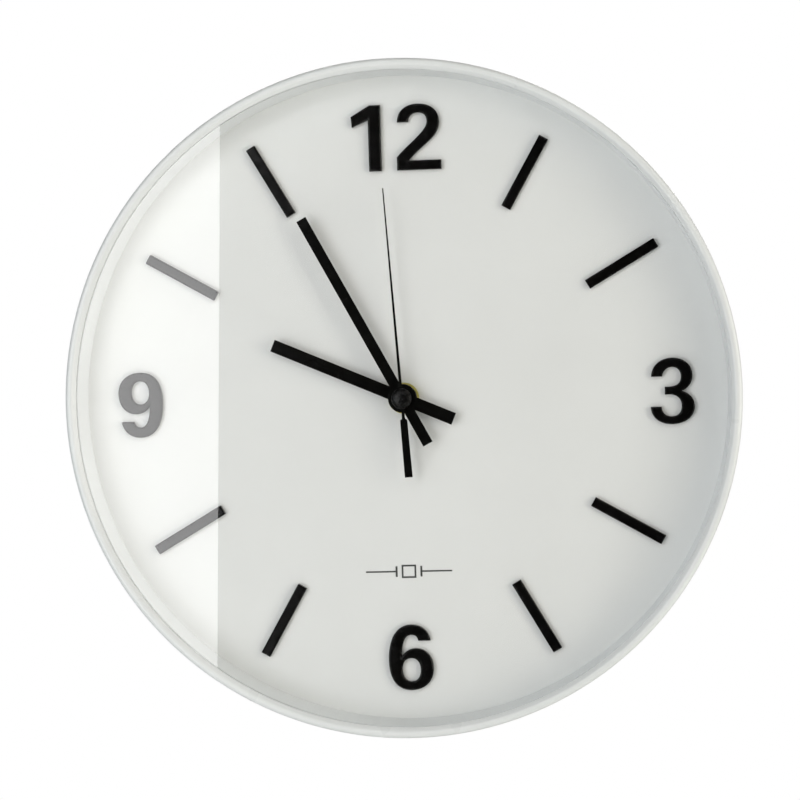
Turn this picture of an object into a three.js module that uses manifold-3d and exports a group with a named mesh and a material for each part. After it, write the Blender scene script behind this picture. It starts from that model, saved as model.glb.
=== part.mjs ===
// Round wall clock, 300 mm across, with a battery quartz movement. All sizes are in millimetres.
// The clock is drawn with x to the right, y up the dial and z from the wall towards the viewer.
// The finished group is then turned so that the wall is the plane Y = 0, the front faces -Y and
// the top of the dial points to +Z.
import * as THREE from "three";
import { mergeVertices } from "three/addons/utils/BufferGeometryUtils.js";
import Module from "manifold-3d";

const wasm = await Module();
wasm.setup();

// Gap left between pieces that touch on the real clock.
const GAP = 0.3;

// Case: depths are distances from the wall.
const CASE_RADIUS = 150;
const CASE_DEPTH = 44;
const OPENING_RADIUS = 145.1;
const BEZEL_WALL = 2.8;
const SEAT_RADIUS = CASE_RADIUS - BEZEL_WALL - GAP - 0.1;
const LENS_FRONT = 42;
const LENS_THICKNESS = 1.7;
const DIAL_FRONT = 22.4;
const DIAL_THICKNESS = 2.2;
const DIAL_RADIUS = 144.3;
const FLOOR_THICKNESS = 2;
const SKIRT_REAR_RADIUS = 148.4;
const SKIRT_WALL = 2.4;
const RING_SEGMENTS = 72;
const HOLE_STEPS = 7;

// Dial furniture
const NUMERAL_RADIUS_Y = 116.6;
const NUMERAL_RADIUS_X = 119.8;
const NUMERAL_HEIGHT = 29.5;
const NUMERAL_THICKNESS = 2.4;
const BAR_INNER_RADIUS = 96.5;
const BAR_OUTER_RADIUS = 132;
const BAR_WIDTH = 4.5;

// Hands: angles are clockwise from 12, in degrees.
const HOUR_ANGLE = 293.5;
const MINUTE_ANGLE = 332;
const SECOND_ANGLE = 356.5;
const HAND_THICKNESS = 0.8;
const HOUR_HAND_DEPTH = 26.6;
const MINUTE_HAND_DEPTH = 29;
const SECOND_HAND_DEPTH = 31.4;
const HAND_HUB_RADIUS = 6.4;
const CAP_RADIUS = 4.6;
const CAP_FRONT = 34.6;

// Coaxial shafts: bushing, hour pipe, minute pipe and seconds arbor.
const BUSHING_RADIUS = 3.9;
const BUSHING_BORE = 3.1;
const HOUR_PIPE_RADIUS = 2.8;
const HOUR_PIPE_BORE = 2.1;
const MINUTE_PIPE_RADIUS = 1.7;
const MINUTE_PIPE_BORE = 0.95;
const SECONDS_ARBOR_RADIUS = 0.55;

// Movement housing
const MOVEMENT_HALF = 28;
const MOVEMENT_REAR = 2.2;
const MOVEMENT_FRONT = 18.6;
const MOVEMENT_SPLIT = 10.3;
const MOVEMENT_CORNER = 3;
const HOUSING_WALL = 1.5;
const PLATE_THICKNESS = 1.2;
const INNER_HALF = MOVEMENT_HALF - HOUSING_WALL;
const INNER_FRONT = MOVEMENT_FRONT - PLATE_THICKNESS;
const INNER_REAR = MOVEMENT_REAR + PLATE_THICKNESS;

// AA cell and its bay, across the bottom of the movement
const CELL_RADIUS = 7.1;
const CELL_HALF_LENGTH = 25.25;
const CELL_HEIGHT = -19;
const CELL_DEPTH = 9.8;
const BAY_TOP = -11.3;
const BAY_WALL = 1;

// Gears: tooth height above and below the pitch circle, in modules.
const ADDENDUM = 0.75;
const DEDENDUM = 1.15;
const MESH_EASE = 0.12;
const WHEEL_THICKNESS = 0.8;
const PINION_THICKNESS = 1.2;
const ARBOR_RADIUS = 0.4;

// Finishes: one material per kind of surface
const WHITE_PLASTIC = { color: 0xdcdfdb, roughness: 0.35, metalness: 0 };
const CLEAR_LENS = { color: 0xf4f8f8, roughness: 0.03, metalness: 0, transparent: true, opacity: 0.2 };
const DIAL_WHITE = { color: 0xdadbd6, roughness: 0.6, metalness: 0 };
const GLOSS_BLACK = { color: 0x0b0b0b, roughness: 0.2, metalness: 0 };
const HAND_BLACK = { color: 0x101010, roughness: 0.45, metalness: 0.2 };
const BRASS = { color: 0xb59b45, roughness: 0.3, metalness: 1 };
const STEEL = { color: 0xa8abad, roughness: 0.35, metalness: 1 };
const RUBBER = { color: 0x1a1a1a, roughness: 0.9, metalness: 0 };
const MOVEMENT_BLACK = { color: 0x17181a, roughness: 0.55, metalness: 0 };
const GEAR_PLASTIC = { color: 0xe9e6da, roughness: 0.5, metalness: 0 };
const BOARD_BROWN = { color: 0x6f5a33, roughness: 0.6, metalness: 0 };
const COPPER = { color: 0xa4562e, roughness: 0.3, metalness: 1 };
const CELL_SLEEVE = { color: 0x2f6f4f, roughness: 0.35, metalness: 0.3 };

const clock = new THREE.Group();
clock.rotation.x = Math.PI / 2;

function add(name, geometry, finish) {
  const mesh = new THREE.Mesh(geometry, new THREE.MeshStandardMaterial(finish));
  mesh.name = name;
  clock.add(mesh);
}

function solidOf(geometry) {
  const bare = geometry.index ? geometry.toNonIndexed() : geometry.clone();
  bare.deleteAttribute("normal");
  bare.deleteAttribute("uv");
  const merged = mergeVertices(bare, 1e-4);
  const vertProperties = merged.attributes.position.array;
  const triVerts = new Uint32Array(merged.index.array);
  return new wasm.Manifold(new wasm.Mesh({ numProp: 3, vertProperties, triVerts }));
}

function geometryOf(solid) {
  const mesh = solid.getMesh();
  const geometry = new THREE.BufferGeometry();
  geometry.setAttribute("position", new THREE.BufferAttribute(mesh.vertProperties, 3));
  geometry.setIndex(new THREE.BufferAttribute(mesh.triVerts, 1));
  return geometry;
}

function join(...geometries) {
  return geometryOf(geometries.map(solidOf).reduce((whole, piece) => whole.add(piece)));
}

function cut(geometry, ...tools) {
  return geometryOf(tools.map(solidOf).reduce((rest, tool) => rest.subtract(tool), solidOf(geometry)));
}

// A flat outline given thickness between two depths.
function plate(shape, from, to, curveSegments = 12) {
  const options = { depth: to - from, bevelEnabled: false, curveSegments };
  return new THREE.ExtrudeGeometry(shape, options).translate(0, 0, from);
}

function box(x0, x1, y0, y1, z0, z1) {
  const geometry = new THREE.BoxGeometry(x1 - x0, y1 - y0, z1 - z0);
  return geometry.translate((x0 + x1) / 2, (y0 + y1) / 2, (z0 + z1) / 2);
}

// Adds holes to an outline: a hole's points have to run the opposite way round.
function pierced(outline, ...holes) {
  const clockwise = THREE.ShapeUtils.isClockWise(outline.getPoints());
  for (const hole of holes) {
    const points = hole.getPoints(HOLE_STEPS);
    if (THREE.ShapeUtils.isClockWise(points) === clockwise) {
      points.reverse();
    }
    outline.holes.push(new THREE.Path(points));
  }
  return outline;
}

function circle(radius, x = 0, y = 0) {
  return new THREE.Shape().absarc(x, y, radius, 0, 2 * Math.PI, false);
}

function disc(radius, from, to, hole = 0, curveSegments = 10) {
  const holes = hole > 0 ? [circle(hole)] : [];
  return plate(pierced(circle(radius), ...holes), from, to, curveSegments);
}

// A profile of [radius, depth] pairs turned about the clock's axis.
function turned(profile, segments) {
  const points = profile.map(([radius, depth]) => new THREE.Vector2(radius, depth));
  return new THREE.LatheGeometry(points, segments).rotateX(Math.PI / 2);
}

// The same for a ring, whose profile closes on itself.
function turnedRing(profile, segments = RING_SEGMENTS) {
  return turned([...profile, profile[0]], segments);
}

function rectangle(x0, x1, y0, y1) {
  return new THREE.Shape([
    new THREE.Vector2(x0, y0),
    new THREE.Vector2(x1, y0),
    new THREE.Vector2(x1, y1),
    new THREE.Vector2(x0, y1),
  ]);
}

function roundedRectangle(halfWidth, halfHeight, corner, centreY = 0) {
  const x = halfWidth - corner;
  const y = halfHeight - corner;
  const shape = new THREE.Shape();
  shape.absarc(x, centreY - y, corner, -Math.PI / 2, 0, false);
  shape.absarc(x, centreY + y, corner, 0, Math.PI / 2, false);
  shape.absarc(-x, centreY + y, corner, Math.PI / 2, Math.PI, false);
  shape.absarc(-x, centreY - y, corner, Math.PI, 1.5 * Math.PI, false);
  return shape;
}

function clockAngle(degrees) {
  return THREE.MathUtils.degToRad(-degrees);
}

// ---- Case -------------------------------------------------------------------------------------

const DIAL_REAR = DIAL_FRONT - DIAL_THICKNESS;
const FLOOR_FRONT = DIAL_REAR - GAP;
const FLOOR_REAR = FLOOR_FRONT - FLOOR_THICKNESS;
const LENS_REAR = LENS_FRONT - LENS_THICKNESS;

// The front bezel: a straight wall that ends in a rounded rim with a small lip over the lens.
function frontBezel() {
  const wallInside = CASE_RADIUS - BEZEL_WALL;
  const lipRear = LENS_FRONT + GAP;
  return turnedRing([
    [wallInside, DIAL_REAR],
    [CASE_RADIUS, DIAL_REAR],
    [CASE_RADIUS, CASE_DEPTH - 1.9],
    [CASE_RADIUS - 0.25, CASE_DEPTH - 0.95],
    [CASE_RADIUS - 0.95, CASE_DEPTH - 0.25],
    [CASE_RADIUS - 1.9, CASE_DEPTH],
    [OPENING_RADIUS + 2.6, CASE_DEPTH],
    [OPENING_RADIUS + 1.5, CASE_DEPTH - 0.35],
    [OPENING_RADIUS, lipRear + 0.1],
    [OPENING_RADIUS, lipRear],
    [wallInside, lipRear],
  ]);
}

// The deep wall between lens and dial, drawn in slightly towards the dial.
function innerRing() {
  return turnedRing([
    [DIAL_RADIUS, DIAL_FRONT + GAP],
    [SEAT_RADIUS, DIAL_FRONT + GAP],
    [SEAT_RADIUS, LENS_REAR - GAP],
    [OPENING_RADIUS - 0.1, LENS_REAR - GAP],
  ]);
}

const RIB_COUNT = 8;
const RIB_THICKNESS = 2;
const RIB_REAR = FLOOR_REAR - 6;
const HUB_RIB_RADIUS = 46;
const HANGER_HEIGHT = 113;
const HANGER_REAR = 2.4;
const HANGER_FRONT = 3.6;
const SCREW_SPREAD = 22;
const SCREW_SHANK = 1.3;
const SCREW_END = 12;
const POST_RADIUS = 4;

// The case body: the floor that carries the dial, the skirt that stands on the wall, stiffening
// ribs, two posts for the hanger plate and a square window for the movement.
function caseBody() {
  const floorRadius = CASE_RADIUS - 0.4;
  const shell = turned(
    [
      [0, FLOOR_REAR],
      [SKIRT_REAR_RADIUS - SKIRT_WALL + 0.6, FLOOR_REAR],
      [SKIRT_REAR_RADIUS - SKIRT_WALL, 0],
      [SKIRT_REAR_RADIUS, 0],
      [floorRadius, FLOOR_FRONT],
      [0, FLOOR_FRONT],
    ],
    RING_SEGMENTS,
  );
  const ribs = Array.from({ length: RIB_COUNT }, (_, i) => {
    const half = RIB_THICKNESS / 2;
    const rib = box(HUB_RIB_RADIUS + half, SKIRT_REAR_RADIUS - 1.5, -half, half, RIB_REAR, FLOOR_REAR + 1);
    return rib.rotateZ(((i + 0.5) * 2 * Math.PI) / RIB_COUNT);
  });
  const hubRib = turnedRing(
    [
      [HUB_RIB_RADIUS, RIB_REAR],
      [HUB_RIB_RADIUS + RIB_THICKNESS, RIB_REAR],
      [HUB_RIB_RADIUS + RIB_THICKNESS, FLOOR_REAR + 1],
      [HUB_RIB_RADIUS, FLOOR_REAR + 1],
    ],
    36,
  );
  const posts = [-SCREW_SPREAD, SCREW_SPREAD].map((x) =>
    disc(POST_RADIUS, HANGER_FRONT + GAP, FLOOR_REAR + 1).translate(x, HANGER_HEIGHT, 0),
  );
  const pilotHoles = [-SCREW_SPREAD, SCREW_SPREAD].map((x) =>
    disc(SCREW_SHANK + GAP, 0, SCREW_END + 1, 0, 6).translate(x, HANGER_HEIGHT, 0),
  );
  const windowHalf = MOVEMENT_HALF + 2.5;
  const movementWindow = plate(roundedRectangle(windowHalf, windowHalf, 4), 0, FLOOR_FRONT + 1, 4);
  return cut(join(shell, ...ribs, hubRib, ...posts), ...pilotHoles, movementWindow);
}

// The pressed steel hanger, with a keyhole for a nail or screw head.
function hangerPlate() {
  const slotHalf = 2.3;
  const headRadius = 4.6;
  const headHeight = HANGER_HEIGHT - 3.5;
  const slotTop = HANGER_HEIGHT + 4;
  const flank = Math.asin(slotHalf / headRadius);
  const keyhole = new THREE.Shape();
  keyhole.absarc(0, headHeight, headRadius, Math.PI / 2 + flank, Math.PI / 2 - flank + 2 * Math.PI, false);
  keyhole.absarc(0, slotTop, slotHalf, 0, Math.PI, false);
  const screwHoles = [-SCREW_SPREAD, SCREW_SPREAD].map((x) => circle(SCREW_SHANK + 0.5, x, HANGER_HEIGHT));
  const outline = roundedRectangle(30, 11, 4, HANGER_HEIGHT);
  return plate(pierced(outline, keyhole, ...screwHoles), HANGER_REAR, HANGER_FRONT, 6);
}

function hangerScrew(x) {
  const headFront = HANGER_REAR - GAP;
  const profile = [
    [0, 0.5],
    [2, 0.5],
    [3.1, 1.2],
    [3.1, headFront],
    [SCREW_SHANK, headFront],
    [SCREW_SHANK, SCREW_END - 1],
    [0, SCREW_END],
  ];
  return turned(profile, 16).translate(x, HANGER_HEIGHT, 0);
}

add("case_body", caseBody(), WHITE_PLASTIC);
add("front_bezel", frontBezel(), WHITE_PLASTIC);
add("inner_ring", innerRing(), WHITE_PLASTIC);
add("lens", disc(SEAT_RADIUS, LENS_REAR, LENS_FRONT, 0, RING_SEGMENTS / 2), CLEAR_LENS);
const dialHole = BUSHING_RADIUS + GAP;
add("dial_plate", disc(SEAT_RADIUS, DIAL_REAR, DIAL_FRONT, dialHole, RING_SEGMENTS / 2), DIAL_WHITE);
add("hanger_plate", hangerPlate(), STEEL);
add("hanger_screw_left", hangerScrew(-SCREW_SPREAD), STEEL);
add("hanger_screw_right", hangerScrew(SCREW_SPREAD), STEEL);

// ---- Dial furniture ---------------------------------------------------------------------------

// A digit's outline: its first point, then [x, y] for a straight edge and
// [x1, y1, x2, y2, x, y] for a bezier curve. Each stands on y = 0 with its left edge near x = 0.
const DIGITS = {
  one: {
    width: 13.4,
    outline: [[7.7, 0], [13.4, 0], [13.4, 29.5], [8.4, 29.5], [0, 24.6], [0.4, 19.8], [7.7, 22.9]],
  },
  two: {
    width: 19.9,
    outline: [
      [0, 0],
      [19.9, 0],
      [19.9, 4.3],
      [5.4, 4.3],
      [7.2, 6.6, 10.8, 9.5, 14.2, 12.4],
      [16.9, 14.7, 19.4, 17.3, 19.4, 21.4],
      [19.4, 26.5, 15.6, 29.5, 9.8, 29.5],
      [4.2, 29.5, 0.5, 26.4, 0.5, 21.4],
      [5.5, 21.4],
      [5.5, 23.9, 7.3, 25.5, 9.9, 25.5],
      [12.2, 25.5, 13.8, 24.1, 13.8, 21.8],
      [13.8, 19.7, 12.6, 18, 10.2, 15.6],
      [7.5, 12.8, 3.3, 9.6, 0, 5.9],
    ],
  },
  three: {
    width: 19.5,
    outline: [
      [0.5, 21.2],
      [5.5, 21.2],
      [5.6, 23.7, 7.5, 25.3, 9.9, 25.3],
      [12.2, 25.3, 13.6, 23.6, 13.6, 21],
      [13.6, 18.2, 11.6, 16.7, 8.2, 16.7],
      [6.4, 16.7],
      [6.4, 13.2],
      [8.3, 13.2],
      [11.6, 13.2, 13.7, 11.4, 13.7, 8.1],
      [13.7, 5.3, 12, 3.5, 9.4, 3.5],
      [6.7, 3.5, 5, 5.1, 4.9, 7.9],
      [0, 7.9],
      [0.1, 3, 3.9, 0, 9.5, 0],
      [15.3, 0, 19.5, 3.2, 19.5, 8],
      [19.5, 11.3, 17.2, 13.8, 14, 14.7],
      [17, 15.9, 18.8, 18.4, 18.8, 21.7],
      [18.8, 26.3, 15.2, 29.5, 9.9, 29.5],
      [4.4, 29.5, 0.6, 26, 0.5, 21.2],
    ],
  },
  six: {
    width: 20.2,
    outline: [
      [19.1, 22.2],
      [18.4, 26.6, 15.1, 29.5, 10.4, 29.5],
      [3.8, 29.5, 0, 23.6, 0, 13.6],
      [0, 4.6, 3.7, 0, 10.1, 0],
      [16.2, 0, 20.2, 3.9, 20.2, 9.6],
      [20.2, 15.1, 16.8, 18.8, 12.2, 18.8],
      [9.6, 18.8, 7.3, 17.5, 5.9, 15.2],
      [6.1, 21.5, 7.6, 24.9, 10.4, 24.9],
      [12.2, 24.9, 13.2, 24, 13.5, 22.2],
    ],
    counter: [
      [14.3, 9.3],
      [14.3, 5.9, 12.7, 3.9, 10.2, 3.9],
      [7.7, 3.9, 6.1, 5.9, 6.1, 9.3],
      [6.1, 12.5, 7.7, 14.4, 10.2, 14.4],
      [12.7, 14.4, 14.3, 12.5, 14.3, 9.3],
    ],
  },
};

function trace([start, ...edges]) {
  const shape = new THREE.Shape().moveTo(...start);
  for (const edge of edges) {
    if (edge.length === 2) {
      shape.lineTo(...edge);
    } else {
      shape.bezierCurveTo(...edge);
    }
  }
  return shape;
}

// A raised digit centred on a point of the dial, and turned in place by the given angle.
function digit(name, x, y, turn = 0) {
  const { width, outline, counter } = DIGITS[name];
  const counters = counter ? [trace(counter)] : [];
  const rear = DIAL_FRONT + GAP;
  return plate(pierced(trace(outline), ...counters), rear, rear + NUMERAL_THICKNESS, 5)
    .translate(-width / 2, -NUMERAL_HEIGHT / 2, 0)
    .rotateZ(turn)
    .translate(x, y, 0);
}

const TWELVE_HALF_WIDTH = 20.1;
const oneX = -TWELVE_HALF_WIDTH + DIGITS.one.width / 2;
const twoX = TWELVE_HALF_WIDTH - DIGITS.two.width / 2;
add("numeral_12_one", digit("one", oneX, NUMERAL_RADIUS_Y), GLOSS_BLACK);
add("numeral_12_two", digit("two", twoX, NUMERAL_RADIUS_Y), GLOSS_BLACK);
add("numeral_3", digit("three", NUMERAL_RADIUS_X, 0), GLOSS_BLACK);
add("numeral_6", digit("six", 0, -NUMERAL_RADIUS_Y), GLOSS_BLACK);
add("numeral_9", digit("six", -NUMERAL_RADIUS_X, 0, Math.PI), GLOSS_BLACK);

// A raised hour bar with a pillowed top edge.
function hourBar(hour) {
  const rear = DIAL_FRONT + GAP;
  const edge = 0.5;
  const half = BAR_WIDTH / 2 - edge;
  const outline = rectangle(-half, half, BAR_INNER_RADIUS + edge, BAR_OUTER_RADIUS - edge);
  const options = {
    depth: NUMERAL_THICKNESS - 2 * edge,
    bevelEnabled: true,
    bevelThickness: edge,
    bevelSize: edge,
    bevelSegments: 1,
    curveSegments: 1,
  };
  const bar = new THREE.ExtrudeGeometry(outline, options).translate(0, 0, rear + edge);
  return bar.rotateZ(clockAngle(hour * 30));
}

for (const hour of [1, 2, 4, 5, 7, 8, 10, 11]) {
  add(`hour_bar_${String(hour).padStart(2, "0")}`, hourBar(hour), GLOSS_BLACK);
}

// ---- Hands ------------------------------------------------------------------------------------

// A hand pointing to 12: outline points down its right side, from the tip to the hub and from the
// hub to the end of the tail, mirrored for the left side. The hub is a round disc with a hole.
function hand(rightPointer, rightTail, hubRadius, holeRadius, depth, angle) {
  const root = rightPointer.at(-1)[0];
  const tailRoot = rightTail[0][0];
  const top = Math.acos(root / hubRadius);
  const bottom = Math.acos(tailRoot / hubRadius);
  const shape = new THREE.Shape();
  const [[tipX, tipY], ...pointer] = rightPointer;
  shape.moveTo(tipX, tipY);
  pointer.slice(0, -1).forEach(([x, y]) => shape.lineTo(x, y));
  shape.absarc(0, 0, hubRadius, top, -bottom, true);
  rightTail.slice(1).forEach(([x, y]) => shape.lineTo(x, y));
  rightTail.slice(1).reverse().forEach(([x, y]) => shape.lineTo(-x, y));
  shape.absarc(0, 0, hubRadius, Math.PI + bottom, Math.PI - top, true);
  pointer.slice(0, -1).reverse().forEach(([x, y]) => shape.lineTo(-x, y));
  shape.lineTo(-tipX, tipY);
  const blade = plate(pierced(shape, circle(holeRadius)), depth, depth + HAND_THICKNESS, 10);
  return blade.rotateZ(clockAngle(angle));
}

function barHand(length, tail, width, pipeRadius, depth, angle) {
  const half = width / 2;
  const pointer = [[half, length], [half, 0]];
  const end = [[half, 0], [half, -tail]];
  return hand(pointer, end, HAND_HUB_RADIUS, pipeRadius + GAP, depth, angle);
}

const secondPointer = [[0.25, 93.9], [0.65, 0]];
const secondTail = [[0.6, 0], [0.7, -9], [1.5, -9.5], [1.75, -35.2]];
const secondHole = SECONDS_ARBOR_RADIUS + GAP;
const hourHand = barHand(63.4, 24.6, 5.6, HOUR_PIPE_RADIUS, HOUR_HAND_DEPTH, HOUR_ANGLE);
const minuteHand = barHand(92, 23.3, 4.7, MINUTE_PIPE_RADIUS, MINUTE_HAND_DEPTH, MINUTE_ANGLE);
const secondHand = hand(secondPointer, secondTail, 3.5, secondHole, SECOND_HAND_DEPTH, SECOND_ANGLE);
add("hour_hand", hourHand, HAND_BLACK);
add("minute_hand", minuteHand, HAND_BLACK);
add("second_hand", secondHand, HAND_BLACK);

// The domed cap that closes the seconds arbor, hollow where the arbor enters it.
function secondCap() {
  const rear = SECOND_HAND_DEPTH + HAND_THICKNESS + GAP;
  const domeBase = rear + 0.5;
  const bore = SECONDS_ARBOR_RADIUS + GAP;
  const dome = Array.from({ length: 6 }, (_, i) => {
    const angle = (i / 5) * (Math.PI / 2);
    return [CAP_RADIUS * Math.cos(angle), domeBase + (CAP_FRONT - domeBase) * Math.sin(angle)];
  });
  dome[5][0] = 0;
  const boreEnd = CAP_FRONT - 0.8;
  return turned([[0, boreEnd], [bore, boreEnd], [bore, rear], [CAP_RADIUS, rear], ...dome], 24);
}

add("second_hand_cap", secondCap(), HAND_BLACK);

// ---- Fixing of the movement to the dial ---------------------------------------------------------

const WASHER_FRONT = DIAL_FRONT + GAP + 0.5;
const NUT_FRONT = WASHER_FRONT + GAP + 1.9;

function bushing() {
  const flangeRear = INNER_FRONT - GAP - 0.8;
  const flangeFront = INNER_FRONT - GAP;
  return turnedRing(
    [
      [BUSHING_BORE, flangeRear],
      [6, flangeRear],
      [6, flangeFront],
      [BUSHING_RADIUS, flangeFront],
      [BUSHING_RADIUS, NUT_FRONT + 0.5],
      [BUSHING_BORE, NUT_FRONT + 0.5],
    ],
    20,
  );
}

function hexagon(acrossFlats, hole) {
  const corner = acrossFlats / Math.sqrt(3);
  const points = Array.from({ length: 6 }, (_, i) => {
    const angle = (i * Math.PI) / 3;
    return new THREE.Vector2(corner * Math.cos(angle), corner * Math.sin(angle));
  });
  return pierced(new THREE.Shape(points), circle(hole));
}

const threadHole = BUSHING_RADIUS + GAP;
add("threaded_bushing", bushing(), BRASS);
add("nut_washer", disc(7, DIAL_FRONT + GAP, WASHER_FRONT, threadHole), BRASS);
add("brass_nut", plate(hexagon(10.4, threadHole), WASHER_FRONT + GAP, NUT_FRONT, 10), BRASS);
add("rubber_gasket", disc(9, MOVEMENT_FRONT + GAP, DIAL_REAR - GAP, threadHole), RUBBER);

// ---- Movement housing ---------------------------------------------------------------------------

function housingFrame(from, to) {
  const outline = roundedRectangle(MOVEMENT_HALF, MOVEMENT_HALF, MOVEMENT_CORNER);
  const hollow = roundedRectangle(INNER_HALF, INNER_HALF, MOVEMENT_CORNER - HOUSING_WALL);
  return plate(pierced(outline, hollow), from, to, 4);
}

function housingPlate(from, to) {
  return plate(roundedRectangle(MOVEMENT_HALF, MOVEMENT_HALF, MOVEMENT_CORNER), from, to, 4);
}

// Front half: face plate with the bushing hole, and side walls.
function frontHousing() {
  const face = housingPlate(INNER_FRONT, MOVEMENT_FRONT);
  const walls = housingFrame(MOVEMENT_SPLIT + GAP / 2, INNER_FRONT + 0.2);
  return cut(join(face, walls), disc(threadHole, INNER_FRONT - 1, MOVEMENT_FRONT + 1));
}

// Positions of the wheels beside the centre shaft
const CENTRE = new THREE.Vector2(0, 0);
const FIRST_MODULE = 0.25;
const SECONDS_MODULE = 0.3;
const MOTION_MODULE = 0.36;
const ROTOR_TEETH = 8;
const INTERMEDIATE_TEETH = 48;
const INTERMEDIATE_PINION = 8;
const SECONDS_TEETH = 40;
const SECONDS_PINION = 8;
const THIRD_TEETH = 60;
const THIRD_PINION = 8;
const CENTRE_TEETH = 64;
const CANNON_TEETH = 12;
const MOTION_TEETH = 36;
const MOTION_PINION = 10;
const HOUR_TEETH = 40;
const SETTING_TEETH = 12;

// Distance between two meshed gears, eased a little for backlash.
function meshDistance(teethA, teethB, module) {
  return ((teethA + teethB) * module) / 2 + MESH_EASE;
}

function beside(point, distance, direction) {
  return new THREE.Vector2(distance * Math.cos(direction), distance * Math.sin(direction)).add(point);
}

// Directions from each wheel to the next one, as angles from x.
const TO_INTERMEDIATE = (150 * Math.PI) / 180;
const TO_ROTOR = (170 * Math.PI) / 180;
const TO_THIRD = 0;
const TO_MOTION = Math.PI / 2;
const TO_SETTING = (120 * Math.PI) / 180;

const thirdDistance = meshDistance(SECONDS_PINION, THIRD_TEETH, FIRST_MODULE);
const motionDistance = meshDistance(CANNON_TEETH, MOTION_TEETH, MOTION_MODULE);
const CENTRE_MODULE = (2 * (thirdDistance - MESH_EASE)) / (CENTRE_TEETH + THIRD_PINION);
const HOUR_MODULE = (2 * (motionDistance - MESH_EASE)) / (HOUR_TEETH + MOTION_PINION);
const intermediateDistance = meshDistance(SECONDS_TEETH, INTERMEDIATE_PINION, SECONDS_MODULE);
const rotorDistance = meshDistance(INTERMEDIATE_TEETH, ROTOR_TEETH, FIRST_MODULE);
const settingDistance = meshDistance(MOTION_TEETH, SETTING_TEETH, MOTION_MODULE);
const intermediateAt = beside(CENTRE, intermediateDistance, TO_INTERMEDIATE);
const rotorAt = beside(intermediateAt, rotorDistance, TO_ROTOR);
const thirdAt = beside(CENTRE, thirdDistance, TO_THIRD);
const motionAt = beside(CENTRE, motionDistance, TO_MOTION);
const settingAt = beside(motionAt, settingDistance, TO_SETTING);

const SETTING_SHAFT = 1.2;

// Rear half: back plate open over the battery bay, side walls, and the wall that closes the bay
// off from the wheels.
function rearHousing() {
  const backPlate = housingPlate(MOVEMENT_REAR, INNER_REAR);
  const frame = housingFrame(INNER_REAR - 0.2, MOVEMENT_SPLIT - GAP / 2);
  const bayEnd = CELL_HALF_LENGTH - 0.25;
  const bayWall = box(-bayEnd, bayEnd, BAY_TOP, BAY_TOP + BAY_WALL, INNER_REAR - 0.2, INNER_FRONT - 0.5);
  const bayMouth = box(-INNER_HALF, INNER_HALF, -INNER_HALF, BAY_TOP, 0, INNER_REAR);
  const shaftHole = disc(SETTING_SHAFT + GAP, 0, INNER_REAR + 1).translate(settingAt.x, settingAt.y, 0);
  return cut(join(cut(backPlate, bayMouth), frame, bayWall), shaftHole);
}

add("movement_front_housing", frontHousing(), MOVEMENT_BLACK);
add("movement_rear_housing", rearHousing(), MOVEMENT_BLACK);

// ---- Battery and contacts -----------------------------------------------------------------------

function battery() {
  const shoulder = CELL_HALF_LENGTH - 1.4;
  const profile = [
    [0, -CELL_HALF_LENGTH],
    [CELL_RADIUS - 0.6, -CELL_HALF_LENGTH],
    [CELL_RADIUS, -CELL_HALF_LENGTH + 0.6],
    [CELL_RADIUS, shoulder - 0.6],
    [CELL_RADIUS - 0.6, shoulder],
    [2.6, shoulder],
    [2.6, CELL_HALF_LENGTH],
    [0, CELL_HALF_LENGTH],
  ];
  const points = profile.map(([radius, along]) => new THREE.Vector2(radius, along));
  return new THREE.LatheGeometry(points, 28).rotateZ(-Math.PI / 2).translate(0, CELL_HEIGHT, CELL_DEPTH);
}

const CONTACT_GAP = CELL_HALF_LENGTH + 0.35;
const CONTACT_SHEET = 0.4;
const CONTACT_TOP = BAY_TOP + 2.3;

function contact(x) {
  return box(x, x + CONTACT_SHEET, CELL_HEIGHT - 4, CONTACT_TOP, CELL_DEPTH - 3, CELL_DEPTH + 3);
}

add("battery", battery(), CELL_SLEEVE);
add("contact_positive", contact(CONTACT_GAP), STEEL);
add("contact_negative", contact(-CONTACT_GAP - CONTACT_SHEET), STEEL);

// ---- Electronics and motor ----------------------------------------------------------------------

const BOARD_REAR = 4.4;
const BOARD_FRONT = 5.2;
add("circuit_board", box(17, 26, CONTACT_TOP + 0.6, 21, BOARD_REAR, BOARD_FRONT), BOARD_BROWN);

function chipDome() {
  const rear = BOARD_FRONT + GAP;
  return turned([[0, rear], [3.2, rear], [2.9, rear + 0.7], [1.7, rear + 1.2], [0, rear + 1.4]], 16);
}

add("sealed_chip", chipDome().translate(21.5, 2, 0), MOVEMENT_BLACK);
add("quartz_can", new THREE.CylinderGeometry(1, 1, 6, 14).translate(21.5, 13, BOARD_FRONT + 1.4), STEEL);

// The stator is a laminated frame: one bar passes through the coil, the other surrounds the rotor.
const STATOR_REAR = 7.4;
const STATOR_FRONT = 8.4;
const STATOR_DEPTH = (STATOR_REAR + STATOR_FRONT) / 2;
const COIL_X = -22;
const COIL_BAR_HALF = 1.4;
const COIL_BOTTOM = -5.5;
const COIL_TOP = 15;
const MAGNET_RADIUS = 1.6;

function stator() {
  const left = COIL_X - COIL_BAR_HALF;
  const right = rotorAt.x + 3.3;
  const frame = rectangle(left, right, COIL_BOTTOM - 3.3, COIL_TOP + 3.3);
  const coilWindow = rectangle(COIL_X + COIL_BAR_HALF, rotorAt.x - 3.3, COIL_BOTTOM - GAP, COIL_TOP + GAP);
  const rotorHole = circle(MAGNET_RADIUS + 0.6, rotorAt.x, rotorAt.y);
  return plate(pierced(frame, coilWindow, rotorHole), STATOR_REAR, STATOR_FRONT, 8);
}

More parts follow.
